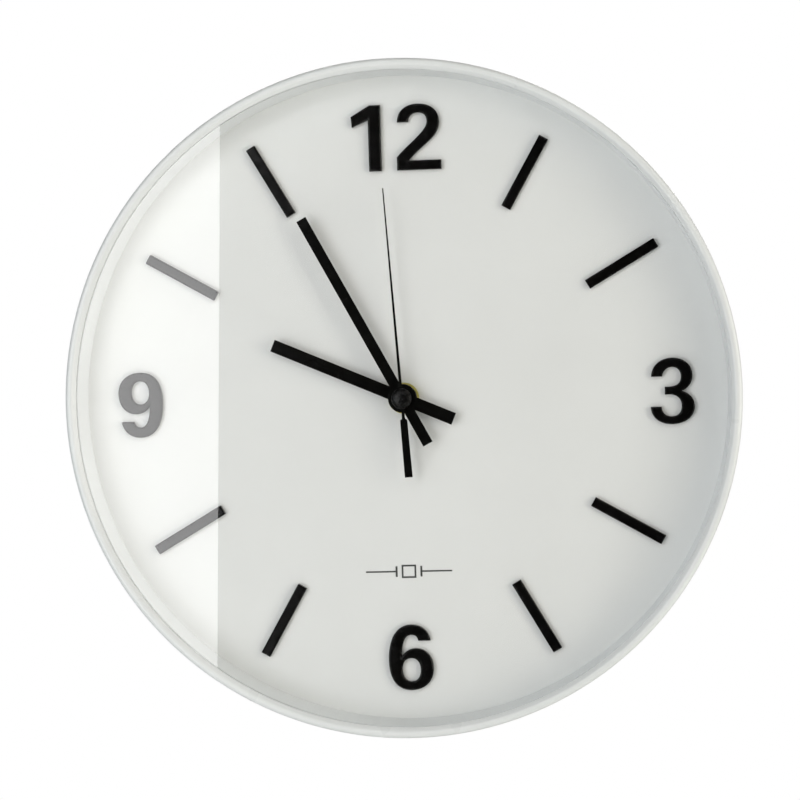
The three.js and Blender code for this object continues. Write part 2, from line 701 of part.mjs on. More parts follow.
// A rectangular tube along y around the coil's bar.
function coilTube(innerX, innerZ, outerX, outerZ, from, to) {
  const block = (x, z, y0, y1) => box(COIL_X - x, COIL_X + x, y0, y1, STATOR_DEPTH - z, STATOR_DEPTH + z);
  return cut(block(outerX, outerZ, from, to), block(innerX, innerZ, from - 1, to + 1));
}

function bobbin() {
  const flange = 0.8;
  const bore = [COIL_BAR_HALF + GAP, 0.8];
  return join(
    coilTube(...bore, 2.3, 1.5, COIL_BOTTOM, COIL_TOP),
    coilTube(...bore, 3.9, 3.6, COIL_BOTTOM, COIL_BOTTOM + flange),
    coilTube(...bore, 3.9, 3.6, COIL_TOP - flange, COIL_TOP),
  );
}

add("stator", stator(), STEEL);
add("coil_bobbin", bobbin(), GEAR_PLASTIC);
add("coil_winding", coilTube(2.6, 1.8, 3.5, 3.3, COIL_BOTTOM + 1.1, COIL_TOP - 1.1), COPPER);

// ---- Wheels --------------------------------------------------------------------------------------

// The outline of a small moulded gear with pointed teeth, one of them at the angle tooth.
function gear(teeth, module, tooth, from, to) {
  const pitch = (teeth * module) / 2;
  const points = [];
  for (let i = 0; i < teeth; i += 1) {
    const angle = tooth + (i * 2 * Math.PI) / teeth;
    points.push(beside(CENTRE, pitch + ADDENDUM * module, angle));
    points.push(beside(CENTRE, pitch - DEDENDUM * module, angle + Math.PI / teeth));
  }
  return plate(new THREE.Shape(points), from, to);
}

function wheel(teeth, module, direction, rear) {
  return gear(teeth, module, direction, rear, rear + WHEEL_THICKNESS);
}

// A pinion turned so that a gap between two teeth takes the tooth of the wheel that points to it.
function pinion(teeth, module, direction, rear) {
  return gear(teeth, module, direction + Math.PI + Math.PI / teeth, rear, rear + PINION_THICKNESS);
}

function arbor(radius, from, to) {
  return disc(radius, from, to, 0, 5);
}

function addMoulding(name, point, geometry) {
  add(name, geometry.translate(point.x, point.y, 0), GEAR_PLASTIC);
}

const ARBOR_REAR = INNER_REAR + 0.4;
const ARBOR_FRONT = INNER_FRONT - 0.4;

// Rear faces of the wheels and pinions, in the order in which they drive each other.
const ROTOR_PINION_REAR = 4.2;
const INTERMEDIATE_REAR = 4.4;
const INTERMEDIATE_PINION_REAR = 5.8;
const SECONDS_REAR = 6;
const SECONDS_PINION_REAR = 7.6;
const THIRD_REAR = 7.8;
const THIRD_PINION_REAR = 9.6;
const CENTRE_REAR = 9.8;
const CANNON_REAR = 11.4;
const MOTION_REAR = 11.6;
const MOTION_PINION_REAR = 13.4;
const HOUR_REAR = 13.6;

const rotor = join(
  pinion(ROTOR_TEETH, FIRST_MODULE, TO_ROTOR, ROTOR_PINION_REAR),
  arbor(ARBOR_RADIUS, ARBOR_REAR, 12),
);
const intermediate = join(
  wheel(INTERMEDIATE_TEETH, FIRST_MODULE, TO_ROTOR, INTERMEDIATE_REAR),
  pinion(INTERMEDIATE_PINION, SECONDS_MODULE, TO_INTERMEDIATE, INTERMEDIATE_PINION_REAR),
  arbor(ARBOR_RADIUS, ARBOR_REAR, CENTRE_REAR - 0.5),
);
const seconds = join(
  wheel(SECONDS_TEETH, SECONDS_MODULE, TO_INTERMEDIATE, SECONDS_REAR),
  pinion(SECONDS_PINION, FIRST_MODULE, TO_THIRD + Math.PI, SECONDS_PINION_REAR),
  arbor(SECONDS_ARBOR_RADIUS, ARBOR_REAR, CAP_FRONT - 1.1),
);
const third = join(
  wheel(THIRD_TEETH, FIRST_MODULE, TO_THIRD + Math.PI, THIRD_REAR),
  pinion(THIRD_PINION, CENTRE_MODULE, TO_THIRD + Math.PI, THIRD_PINION_REAR),
  arbor(ARBOR_RADIUS, ARBOR_REAR, ARBOR_FRONT),
);
const motion = join(
  wheel(MOTION_TEETH, MOTION_MODULE, TO_MOTION + Math.PI, MOTION_REAR),
  pinion(MOTION_PINION, HOUR_MODULE, TO_MOTION + Math.PI, MOTION_PINION_REAR),
  arbor(ARBOR_RADIUS, MOTION_REAR - 0.4, ARBOR_FRONT),
);

addMoulding("rotor_pinion", rotorAt, rotor);
const magnet = disc(MAGNET_RADIUS, 7, 8.8, ARBOR_RADIUS + GAP, 8);
add("rotor_magnet", magnet.translate(rotorAt.x, rotorAt.y, 0), STEEL);
addMoulding("intermediate_wheel", intermediateAt, intermediate);
addMoulding("seconds_wheel", CENTRE, seconds);
addMoulding("third_wheel", thirdAt, third);
addMoulding("motion_wheel", motionAt, motion);

// The centre wheel carries the minute pipe, and the hour wheel the hour pipe around it.
function pipe(radius, bore, rear, handDepth, ...gears) {
  const tube = disc(radius, rear, handDepth + HAND_THICKNESS + 0.6, 0, 8);
  return cut(join(tube, ...gears), disc(bore, 0, CASE_DEPTH, 0, 6));
}

const centreGears = [
  wheel(CENTRE_TEETH, CENTRE_MODULE, TO_THIRD, CENTRE_REAR),
  pinion(CANNON_TEETH, MOTION_MODULE, TO_MOTION + Math.PI, CANNON_REAR),
];
const hourGear = wheel(HOUR_TEETH, HOUR_MODULE, TO_MOTION, HOUR_REAR);
const minutePipeSize = [MINUTE_PIPE_RADIUS, MINUTE_PIPE_BORE, CENTRE_REAR, MINUTE_HAND_DEPTH];
const minutePipe = pipe(...minutePipeSize, ...centreGears);
const hourPipe = pipe(HOUR_PIPE_RADIUS, HOUR_PIPE_BORE, HOUR_REAR, HOUR_HAND_DEPTH, hourGear);
addMoulding("centre_wheel", CENTRE, minutePipe);
addMoulding("hour_wheel", CENTRE, hourPipe);

// The setting knob: a knurled wheel behind the movement, and a shaft whose pinion turns the
// motion wheel.
function knurledDisc(radius, from, to, notches) {
  const points = Array.from({ length: notches * 2 }, (_, i) =>
    beside(CENTRE, i % 2 ? radius - 0.4 : radius, (i * Math.PI) / notches),
  );
  return plate(new THREE.Shape(points), from, to);
}

const setting = join(
  knurledDisc(5, 0.4, MOVEMENT_REAR - 0.4, 20),
  arbor(SETTING_SHAFT, MOVEMENT_REAR - 0.6, CANNON_REAR + 0.2),
  pinion(SETTING_TEETH, MOTION_MODULE, TO_SETTING, CANNON_REAR),
);
addMoulding("setting_knob", settingAt, setting);

const part = new THREE.Group();
part.add(clock);

export default part;
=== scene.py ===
import math

import bmesh
import bpy
from mathutils import Matrix, Vector

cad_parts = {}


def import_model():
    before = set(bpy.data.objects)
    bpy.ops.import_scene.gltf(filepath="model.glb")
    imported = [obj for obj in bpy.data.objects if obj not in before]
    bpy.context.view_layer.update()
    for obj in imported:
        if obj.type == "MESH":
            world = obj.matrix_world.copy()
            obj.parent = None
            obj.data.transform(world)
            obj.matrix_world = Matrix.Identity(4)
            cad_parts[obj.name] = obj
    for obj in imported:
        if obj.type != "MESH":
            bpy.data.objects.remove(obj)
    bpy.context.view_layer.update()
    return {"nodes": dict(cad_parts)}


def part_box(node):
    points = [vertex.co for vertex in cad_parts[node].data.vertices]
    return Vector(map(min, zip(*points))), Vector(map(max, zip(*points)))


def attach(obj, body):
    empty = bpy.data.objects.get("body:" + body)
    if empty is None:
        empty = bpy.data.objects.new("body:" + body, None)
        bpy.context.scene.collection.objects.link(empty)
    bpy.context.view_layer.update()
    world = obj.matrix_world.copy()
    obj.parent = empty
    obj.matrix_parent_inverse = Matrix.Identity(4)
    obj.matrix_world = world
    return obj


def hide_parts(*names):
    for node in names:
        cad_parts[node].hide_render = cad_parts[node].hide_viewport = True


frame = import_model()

# Lengths on the clock are millimetres, with x to the right, y up the dial and depth out from the
# wall. MM turns them into the frame's metres, which the stage and the camera are in.
MM = 0.001
TOUCHING = 1e-3
SEGMENTS = 256
SHARP_ANGLE = math.radians(32)
BEVELLED_ANGLE = math.radians(50)


# ---- Places read from the frame ----------------------------------------------------------------

def depths(node):
    """Rear and front of a CAD node, as depths from the wall."""
    low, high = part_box(node)
    return -high.y / MM, -low.y / MM


def half_width(node):
    """Half of a CAD node's width, which is the radius of a round one."""
    low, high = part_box(node)
    return (high.x - low.x) / 2 / MM


def middle(node):
    """Centre of a CAD node seen from the front."""
    low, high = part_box(node)
    return (low.x + high.x) / 2 / MM, (low.z + high.z) / 2 / MM


def place(x, y, depth):
    """A point on the clock in the frame's own axes and metres."""
    return Vector((x * MM, -depth * MM, y * MM))


# ---- Materials ---------------------------------------------------------------------------------

NOISE_LOW, NOISE_HIGH = 0.3, 0.7


def linear(*rgb):
    """An sRGB colour, 0 to 255, as the linear colour that shaders take."""
    return tuple(((c / 255 + 0.055) / 1.055) ** 2.4 if c > 10 else c / 255 / 12.92 for c in rgb) + (1,)


class Nodes:
    """Short calls for building a material's node tree."""

    def __init__(self, name):
        self.material = bpy.data.materials.new(name)
        self.material.use_nodes = True
        self.tree = self.material.node_tree
        self.tree.nodes.clear()
        self.output = self.add("ShaderNodeOutputMaterial")

    def add(self, kind, **settings):
        node = self.tree.nodes.new(kind)
        for key, value in settings.items():
            setattr(node, key, value)
        return node

    def link(self, source, target):
        self.tree.links.new(source, target)

    def position(self, stretch=(1, 1, 1)):
        """Object coordinates in metres, stretched along the axes."""
        coordinates = self.add("ShaderNodeTexCoord")
        mapping = self.add("ShaderNodeMapping")
        mapping.inputs["Scale"].default_value = stretch
        self.link(coordinates.outputs["Object"], mapping.inputs["Vector"])
        return mapping.outputs["Vector"]

    def noise(self, vector, size_mm, detail=3, roughness=0.5):
        noise = self.add("ShaderNodeTexNoise")
        noise.inputs["Scale"].default_value = 1 / (size_mm * MM)
        noise.inputs["Detail"].default_value = detail
        noise.inputs["Roughness"].default_value = roughness
        self.link(vector, noise.inputs["Vector"])
        return noise.outputs["Fac"]

    def remap(self, value, low, high):
        """Spreads the range that noise mostly keeps to over low to high."""
        remap = self.add("ShaderNodeMapRange")
        remap.inputs["From Min"].default_value = NOISE_LOW
        remap.inputs["From Max"].default_value = NOISE_HIGH
        remap.inputs["To Min"].default_value = low
        remap.inputs["To Max"].default_value = high
        self.link(value, remap.inputs["Value"])
        return remap.outputs["Result"]

    def blend_colours(self, factor, first, second):
        mix = self.add("ShaderNodeMix", data_type="RGBA")
        for socket, colour in (("A", first), ("B", second)):
            next(s for s in mix.inputs if s.name == socket and s.type == "RGBA").default_value = colour
        self.link(factor, mix.inputs["Factor"])
        return next(s for s in mix.outputs if s.type == "RGBA")

    def bump(self, height, depth_mm):
        bump = self.add("ShaderNodeBump")
        bump.inputs["Distance"].default_value = depth_mm * MM
        self.link(height, bump.inputs["Height"])
        return bump.outputs["Normal"]


def surface(
    name, colour, second, mottle_mm, grain_mm, grain_depth, roughness,
    metallic=0.0, stretch=(1, 1, 1), **sockets,
):
    """A moulded, painted or metal surface: colour that drifts between two values over mottle_mm,
    grain of a given size and depth in the relief, and roughness that wanders between two values.
    Further sockets of the shader are given by name."""
    nodes = Nodes(name)
    shader = nodes.add("ShaderNodeBsdfPrincipled")
    position = nodes.position(stretch)
    mottle = nodes.noise(position, mottle_mm, 4)
    grain = nodes.noise(position, grain_mm, 4, 0.6)
    drift = nodes.noise(position, mottle_mm * 0.4)
    blended = nodes.blend_colours(nodes.remap(mottle, 0, 1), colour, second)
    nodes.link(blended, shader.inputs["Base Color"])
    nodes.link(nodes.remap(drift, *roughness), shader.inputs["Roughness"])
    nodes.link(nodes.bump(grain, grain_depth), shader.inputs["Normal"])
    shader.inputs["Metallic"].default_value = metallic
    for socket, value in sockets.items():
        shader.inputs[socket.replace("_", " ")].default_value = value
    nodes.link(shader.outputs["BSDF"], nodes.output.inputs["Surface"])
    return nodes.material


# One face with this index mirrors about as much as the two faces of a clear pane together.
BOTH_FACES_IOR = 1.75


def clear_pane(name):
    """A flat clear pane: light goes straight through it, and it mirrors as its two faces do
    together. Only the face that a ray meets from outside mirrors."""
    nodes = Nodes(name)
    fresnel = nodes.add("ShaderNodeFresnel")
    fresnel.inputs["IOR"].default_value = BOTH_FACES_IOR
    geometry = nodes.add("ShaderNodeNewGeometry")
    outside = nodes.add("ShaderNodeMath", operation="SUBTRACT")
    outside.inputs[0].default_value = 1
    nodes.link(geometry.outputs["Backfacing"], outside.inputs[1])
    mirrored = nodes.add("ShaderNodeMath", operation="MULTIPLY")
    nodes.link(fresnel.outputs["Fac"], mirrored.inputs[0])
    nodes.link(outside.outputs[0], mirrored.inputs[1])
    through = nodes.add("ShaderNodeBsdfTransparent")
    through.inputs["Color"].default_value = (0.99, 0.99, 0.99, 1)
    gloss = nodes.add("ShaderNodeBsdfGlossy")
    haze = nodes.noise(nodes.position(), 18)
    nodes.link(nodes.remap(haze, 0.0, 0.012), gloss.inputs["Roughness"])
    mix = nodes.add("ShaderNodeMixShader")
    nodes.link(mirrored.outputs[0], mix.inputs["Fac"])
    nodes.link(through.outputs["BSDF"], mix.inputs[1])
    nodes.link(gloss.outputs["BSDF"], mix.inputs[2])
    nodes.link(mix.outputs["Shader"], nodes.output.inputs["Surface"])
    return nodes.material


def wound_wire(name):
    """Enamelled copper wire laid side by side along z, its colour painted darker between the turns as
    shade and brighter on them as light.
    """
    nodes = Nodes(name)
    shader = nodes.add("ShaderNodeBsdfPrincipled")
    position = nodes.position()
    turns = nodes.add("ShaderNodeTexWave", bands_direction="Z")
    turns.inputs["Scale"].default_value = 600
    turns.inputs["Distortion"].default_value = 0.6
    nodes.link(position, turns.inputs["Vector"])
    # Painted shade and light: the same bands that raise the turns make the copper dark between them and
    # bright on them.
    copper = nodes.blend_colours(turns.outputs["Fac"], linear(120, 52, 24), linear(205, 110, 62))
    nodes.link(copper, shader.inputs["Base Color"])
    nodes.link(nodes.bump(turns.outputs["Fac"], 0.08), shader.inputs["Normal"])
    nodes.link(nodes.remap(nodes.noise(position, 1.5), 0.2, 0.4), shader.inputs["Roughness"])
    shader.inputs["Metallic"].default_value = 1
    nodes.link(shader.outputs["BSDF"], nodes.output.inputs["Surface"])
    return nodes.material


white_plastic = surface(
    "white_moulded_plastic", linear(211, 214, 214), linear(207, 210, 210),
    60, 0.6, 0.004, (0.26, 0.34), IOR=1.5,
)
# The inner wall takes the bezel's white plastic painted lighter: painted light on a wall that sits in
# shade in the recess.
wall_plastic_painted_lighter = surface(
    "white_inner_wall_painted_lighter", linear(234, 237, 238), linear(231, 234, 235),
    60, 0.5, 0.005, (0.4, 0.5), IOR=1.45,
)
dial_white = surface(
    "matt_dial_white", linear(227, 229, 228), linear(224, 226, 225),
    45, 0.35, 0.006, (0.55, 0.7), IOR=1.4,
)
gloss_black = surface(
    "gloss_black_plastic", linear(7, 7, 6), linear(11, 10, 10),
    9, 1.2, 0.006, (0.1, 0.2), Specular_IOR_Level=0.25,
)
printed_black = surface(
    "printed_black_ink", linear(58, 60, 58), linear(70, 72, 70),
    2, 0.15, 0.01, (0.4, 0.6),
)
hand_black = surface(
    "black_painted_sheet", linear(9, 9, 8), linear(14, 14, 13),
    6, 0.3, 0.008, (0.08, 0.14), Specular_IOR_Level=0.15,
)
satin_black = surface(
    "satin_black_dome", linear(8, 8, 8), linear(11, 11, 10),
    5, 0.4, 0.006, (0.24, 0.3), Specular_IOR_Level=0.16,
)
brass = surface(
    "turned_brass", linear(222, 214, 128), linear(206, 196, 104),
    3, 0.25, 0.01, (0.34, 0.46), 0.75,
)
steel = surface(
    "brushed_zinc_steel", linear(186, 188, 190), linear(165, 168, 171),
    10, 0.3, 0.02, (0.28, 0.45), 1.0, (1, 8, 8),
)
rubber = surface(
    "soft_rubber", linear(28, 28, 28), linear(36, 36, 35),
    4, 0.3, 0.04, (0.75, 0.9),
)
movement_black = surface(
    "spark_textured_black", linear(30, 31, 33), linear(37, 38, 40),
    12, 0.35, 0.06, (0.45, 0.62),
)
acetal = surface(
    "natural_acetal", linear(232, 228, 214), linear(224, 219, 203),
    5, 0.4, 0.01, (0.35, 0.5), Subsurface_Weight=0.15,
)
laminate = surface(
    "brown_laminate", linear(126, 98, 58), linear(104, 80, 46),
    1.5, 0.3, 0.03, (0.45, 0.6),
)
cell_green = surface(
    "cell_sleeve_green", linear(36, 110, 78), linear(30, 98, 70),
    12, 0.6, 0.008, (0.2, 0.32),
)
cell_band = surface(
    "cell_sleeve_band", linear(196, 176, 110), linear(184, 164, 98),
    10, 0.6, 0.008, (0.22, 0.34), 0.7,
)
lens_clear = clear_pane("clear_lens_pane")
copper_wire = wound_wire("enamelled_copper_wire")


# ---- Mesh helpers ------------------------------------------------------------------------------

def shade_by_angle(bm):
    """Smooth faces, with an edge kept sharp where the surface really turns."""
    for face in bm.faces:
        face.smooth = True
    for edge in bm.edges:
        edge.smooth = len(edge.link_faces) == 2 and edge.calc_face_angle(0) < SHARP_ANGLE


def to_object(bm, name):
    bmesh.ops.recalc_face_normals(bm, faces=bm.faces)
    shade_by_angle(bm)
    mesh = bpy.data.meshes.new(name)
    bm.to_mesh(mesh)
    bm.free()
    piece = bpy.data.objects.new(name, mesh)
    bpy.context.scene.collection.objects.link(piece)
    return piece


def publish(piece, body, slot, material, *nodes):
    """Gives a finished piece its material, the body it rides on and the CAD nodes it stands for."""
    if not piece.data.materials:
        piece.data.materials.append(material)
    weighted = piece.modifiers.new("even_normals", "WEIGHTED_NORMAL")
    weighted.keep_sharp = True
    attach(piece, body)
    if nodes:
        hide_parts(*nodes)


def lathe(name, profile, segments=SEGMENTS, closed=True, matrix=None):
    """Turns a profile of (radius, depth) points about the clock's axis, or about another axis
    given by a matrix. A point at radius 0 closes the piece on its axis."""
    bm = bmesh.new()
    angles = [2 * math.pi * i / segments for i in range(segments)]
    rings = []
    for radius, depth in profile:
        if radius == 0:
            rings.append([bm.verts.new(place(0, 0, depth))])
            continue
        spots = (place(radius * math.cos(a), radius * math.sin(a), depth) for a in angles)
        rings.append([bm.verts.new(spot) for spot in spots])
    pairs = list(zip(rings, rings[1:]))
    if closed:
        pairs.append((rings[-1], rings[0]))
    for first, second in pairs:
        for i in range(segments):
            j = (i + 1) % segments
            here = (first[i % len(first)], first[j % len(first)])
            there = (second[j % len(second)], second[i % len(second)])
            corners = list(dict.fromkeys(here + there))
            if len(corners) > 2:
                bm.faces.new(corners)
    if matrix is not None:
        bmesh.ops.transform(bm, matrix=matrix, verts=bm.verts)
    return to_object(bm, name)


def rounded(corners, steps=6):
    """An outline of (x, y, radius) corners with an arc in place of each corner."""
    points = []
    for i, (x, y, radius) in enumerate(corners):
        here = Vector((x, y))
        if radius <= 0:
            points.append(here)
            continue
        back = (Vector(corners[i - 1][:2]) - here).normalized()
        ahead = (Vector(corners[(i + 1) % len(corners)][:2]) - here).normalized()
        half = back.angle(ahead) / 2
        hub = here + (back + ahead).normalized() * (radius / math.sin(half))
        start = here + back * (radius / math.tan(half)) - hub
        end = here + ahead * (radius / math.tan(half)) - hub
        sweep = math.remainder(math.atan2(end.y, end.x) - math.atan2(start.y, start.x), 2 * math.pi)
        for k in range(steps + 1):
            angle = math.atan2(start.y, start.x) + sweep * k / steps
            points.append(hub + Vector((math.cos(angle), math.sin(angle))) * radius)
    return points


def arc(radius, start, end, steps, x=0.0, y=0.0):
    """Points along an arc, with angles in degrees."""
    angles = [math.radians(start + (end - start) * i / steps) for i in range(steps + 1)]
    return [Vector((x + radius * math.cos(a), y + radius * math.sin(a))) for a in angles]


def circle(radius, x=0.0, y=0.0, steps=64):
    return arc(radius, 0, 360, steps, x, y)[:-1]


def rectangle(x0, x1, y0, y1, corner=0.0):
    return rounded([(x0, y0, corner), (x1, y0, corner), (x1, y1, corner), (x0, y1, corner)])


def plate(name, outlines, rear, front, edge, flat_rear=False, turn=0.0, at=(0, 0)):
    """Flat outlines, the first one solid and the others holes, given thickness and rounded edges.
    With flat_rear only the front edges are rounded."""
    half = (front - rear - edge) / 2 if flat_rear else (front - rear) / 2 - edge
    curve = bpy.data.curves.new(name, "CURVE")
    curve.dimensions = "2D"
    curve.fill_mode = "BOTH"
    curve.extrude = half
    curve.bevel_depth = edge
    curve.bevel_resolution = 4
    curve.offset = -edge
    for outline in outlines:
        spline = curve.splines.new("POLY")
        spline.points.add(len(outline) - 1)
        spline.use_cyclic_u = True
        for point, (x, y) in zip(spline.points, outline):
            point.co = (x, y, 0, 1)
    flat = bpy.data.objects.new(name, curve)
    bpy.context.scene.collection.objects.link(flat)
    solid = flat.evaluated_get(bpy.context.evaluated_depsgraph_get())
    bm = bmesh.new()
    bm.from_mesh(solid.to_mesh())
    solid.to_mesh_clear()
    bpy.data.objects.remove(flat)
    bpy.data.curves.remove(curve)
    bmesh.ops.remove_doubles(bm, verts=bm.verts, dist=TOUCHING)
    if flat_rear:
        below = [v for v in bm.verts if v.co.z < -half - TOUCHING]
        bmesh.ops.delete(bm, geom=below, context="VERTS")
        rim = [e for e in bm.edges if len(e.link_faces) == 1]
        bmesh.ops.triangle_fill(bm, use_beauty=True, edges=rim)
    to_frame = Matrix(((1, 0, 0, 0), (0, 0, -1, 0), (0, 1, 0, 0), (0, 0, 0, 1)))
    centre = (rear + half) if flat_rear else (rear + front) / 2
    move = Matrix.Translation((at[0], at[1], centre)) @ Matrix.Rotation(turn, 4, "Z")
    bmesh.ops.transform(bm, matrix=Matrix.Scale(MM, 4) @ to_frame @ move, verts=bm.verts)
    return to_object(bm, name)


def block(name, x0, x1, y0, y1, rear, front, edge=0.2, corner=0.0):
    """A box with rounded edges."""
    return plate(name, [rectangle(x0, x1, y0, y1, corner)], rear, front, edge)


def settle(piece):
    """Applies a piece's modifiers to its mesh."""
    graph = bpy.context.evaluated_depsgraph_get()
    mesh = bpy.data.meshes.new_from_object(piece.evaluated_get(graph))
    piece.modifiers.clear()
    piece.data = mesh


def combine(piece, other, operation):
    """Joins another piece to this one, or cuts it away, and deletes the other."""
    modifier = piece.modifiers.new("combine", "BOOLEAN")
    modifier.object = other
    modifier.operation = operation
    modifier.solver = "EXACT"
    settle(piece)
    bpy.data.objects.remove(other)
    return piece


def soften(piece, width):
    """Small rounded edges on a piece made of cuts, then its shading by angle."""
    bevel = piece.modifiers.new("edges", "BEVEL")
    bevel.width = width * MM
    bevel.segments = 2
    bevel.limit_method = "ANGLE"
    bevel.angle_limit = BEVELLED_ANGLE
    settle(piece)
    bm = bmesh.new()
    bm.from_mesh(piece.data)
    shade_by_angle(bm)
    bm.to_mesh(piece.data)
    bm.free()
    return piece


# ---- Case: bezel, lens, inner wall, dial -------------------------------------------------------

bezel_rear, bezel_front = depths("front_bezel")
case_radius = half_width("front_bezel")
lens_rear, lens_front = depths("lens")
lens_radius = half_width("lens")
dial_rear, dial_front = depths("dial_plate")
OPENING_RADIUS = 145.1
RING_DIAL_RADIUS = 144.3
DIAL_BORE = 4.2
BEZEL_WALL = 2.8
RIM_ROUNDING = 1.9
LENS_CHAMFER = 0.3
SEAT_GAP = 0.02


def bezel_profile():
    """A straight wall whose front turns over a rounded rim and slopes in to a lip on the lens."""
    inside = case_radius - BEZEL_WALL
    lip = lens_front + 0.1
    corners = [
        (inside, bezel_rear, 0),
        (case_radius, bezel_rear, 0.5),
        (case_radius, bezel_front, RIM_ROUNDING),
        (OPENING_RADIUS + RIM_ROUNDING, bezel_front, 1.8),
        (OPENING_RADIUS, lip, 0.12),
        (inside, lip, 0),
    ]
    return rounded(corners, 10)


publish(lathe("bezel_rim", bezel_profile()), "case", "white_plastic", white_plastic, "front_bezel")

lens_profile = [
    (0, lens_rear),
    (lens_radius - LENS_CHAMFER, lens_rear),
    (lens_radius, lens_rear + LENS_CHAMFER),
    (lens_radius, lens_front - LENS_CHAMFER),
    (lens_radius - LENS_CHAMFER, lens_front),
    (0, lens_front),
]
publish(lathe("lens_pane", lens_profile, closed=False), "case", "clear_lens", lens_clear, "lens")

ring_outside = half_width("inner_ring")
ring_seat = dial_front + SEAT_GAP
ring_crown = lens_rear - SEAT_GAP
ring_profile = [
    (RING_DIAL_RADIUS, ring_seat),
    (ring_outside, ring_seat),
    (ring_outside, ring_crown),
    (OPENING_RADIUS, ring_crown),
    (OPENING_RADIUS - 0.1, ring_crown - 0.4),
]
# Painted light: the inner wall gets the lighter copy of the bezel's white plastic, to brighten its
# shaded recess.
publish(lathe("inner_wall", ring_profile), "case", "white_plastic", wall_plastic_painted_lighter, "inner_ring")

dial_edge = half_width("dial_plate")
dial_profile = [
    (DIAL_BORE, dial_rear),
    (dial_edge, dial_rear),
    (dial_edge, dial_front),
    (DIAL_BORE + 0.3, dial_front),
    (DIAL_BORE, dial_front - 0.3),
]
publish(lathe("dial_face", dial_profile), "case", "dial_face", dial_white, "dial_plate")


# ---- Dial furniture ----------------------------------------------------------------------------

# A digit's outline: its first point, then (x, y) for a straight edge and six numbers for a bezier
# curve, with the digit standing on y = 0 and its left edge near x = 0.
DIGITS = {
    "one": (13.4, [[
        (7.7, 0), (13.4, 0), (13.4, 29.5), (8.4, 29.5), (0, 24.6), (0.4, 19.8), (7.7, 22.9),
    ]]),
    "two": (19.9, [[
        (0, 0), (19.9, 0), (19.9, 4.3), (5.4, 4.3),
        (7.2, 6.6, 10.8, 9.5, 14.2, 12.4),
        (16.9, 14.7, 19.4, 17.3, 19.4, 21.4),
        (19.4, 26.5, 15.6, 29.5, 9.8, 29.5),
        (4.2, 29.5, 0.5, 26.4, 0.5, 21.4),
        (5.5, 21.4),
        (5.5, 23.9, 7.3, 25.5, 9.9, 25.5),
        (12.2, 25.5, 13.8, 24.1, 13.8, 21.8),
        (13.8, 19.7, 12.6, 18, 10.2, 15.6),
        (7.5, 12.8, 3.3, 9.6, 0, 5.9),
    ]]),
    "three": (19.5, [[
        (0.5, 21.2), (5.5, 21.2),
        (5.6, 23.7, 7.5, 25.3, 9.9, 25.3),
        (12.2, 25.3, 13.6, 23.6, 13.6, 21),
        (13.6, 18.2, 11.6, 16.7, 8.2, 16.7),
        (6.4, 16.7), (6.4, 13.2), (8.3, 13.2),
        (11.6, 13.2, 13.7, 11.4, 13.7, 8.1),
        (13.7, 5.3, 12, 3.5, 9.4, 3.5),
        (6.7, 3.5, 5, 5.1, 4.9, 7.9),
        (0, 7.9),
        (0.1, 3, 3.9, 0, 9.5, 0),
        (15.3, 0, 19.5, 3.2, 19.5, 8),
        (19.5, 11.3, 17.2, 13.8, 14, 14.7),
        (17, 15.9, 18.8, 18.4, 18.8, 21.7),
        (18.8, 26.3, 15.2, 29.5, 9.9, 29.5),
        (4.4, 29.5, 0.6, 26, 0.5, 21.2),
    ]]),
    "six": (20.2, [
        [
            (19.1, 22.2),
            (18.4, 26.6, 15.1, 29.5, 10.4, 29.5),
            (3.8, 29.5, 0, 23.6, 0, 13.6),
            (0, 4.6, 3.7, 0, 10.1, 0),
            (16.2, 0, 20.2, 3.9, 20.2, 9.6),
            (20.2, 15.1, 16.8, 18.8, 12.2, 18.8),
            (9.6, 18.8, 7.3, 17.5, 5.9, 15.2),
            (6.1, 21.5, 7.6, 24.9, 10.4, 24.9),
            (12.2, 24.9, 13.2, 24, 13.5, 22.2),
        ],
        [
            (14.3, 9.3),
            (14.3, 5.9, 12.7, 3.9, 10.2, 3.9),
            (7.7, 3.9, 6.1, 5.9, 6.1, 9.3),
            (6.1, 12.5, 7.7, 14.4, 10.2, 14.4),
            (12.7, 14.4, 14.3, 12.5, 14.3, 9.3),
        ],
    ]),
}
DIGIT_HEIGHT = 29.5
FURNITURE_EDGE = 0.75


def traced(outline, steps=12):
    """The points of an outline, with each bezier curve divided into short steps."""
    points = [Vector(outline[0])]
    for edge in outline[1:]:
        if len(edge) == 2:
            points.append(Vector(edge))
            continue
        start = points[-1]
        first, second, end = Vector(edge[0:2]), Vector(edge[2:4]), Vector(edge[4:6])
        for k in range(1, steps + 1):
            t = k / steps
            s = 1 - t
            point = start * s**3 + first * (3 * s * s * t)
            points.append(point + second * (3 * s * t * t) + end * t**3)
    if (points[0] - points[-1]).length < 0.05:
        points.pop()
    return points


def raised(name, outlines, node, turn=0.0, at=(0, 0)):
    """A numeral or bar that stands on the dial."""
    _, front = depths(node)
    piece = plate(name, outlines, dial_front + SEAT_GAP, front, FURNITURE_EDGE, True, turn, at)
    publish(piece, "case", "gloss_black", gloss_black, node)


def numeral(name, digit, node, turn=0.0):
    """A digit centred on its CAD node."""
    width, outlines = DIGITS[digit]
    shift = Vector((width / 2, DIGIT_HEIGHT / 2))
    centred = [[p - shift for p in traced(outline)] for outline in outlines]
    raised(name, centred, node, turn, middle(node))


numeral("digit_one_of_twelve", "one", "numeral_12_one")
numeral("digit_two_of_twelve", "two", "numeral_12_two")
numeral("digit_three", "three", "numeral_3")
numeral("digit_six", "six", "numeral_6")
numeral("digit_nine", "six", "numeral_9", math.pi)

BAR_INNER, BAR_OUTER, BAR_WIDTH = 96.5, 132, 4.5
for hour in (1, 2, 4, 5, 7, 8, 10, 11):
    outline = rectangle(-BAR_WIDTH / 2, BAR_WIDTH / 2, BAR_INNER, BAR_OUTER, 0.25)
    raised(f"bar_at_{hour:02d}", [outline], f"hour_bar_{hour:02d}", math.radians(-30 * hour))


MARK_PLACE = (0, -78)


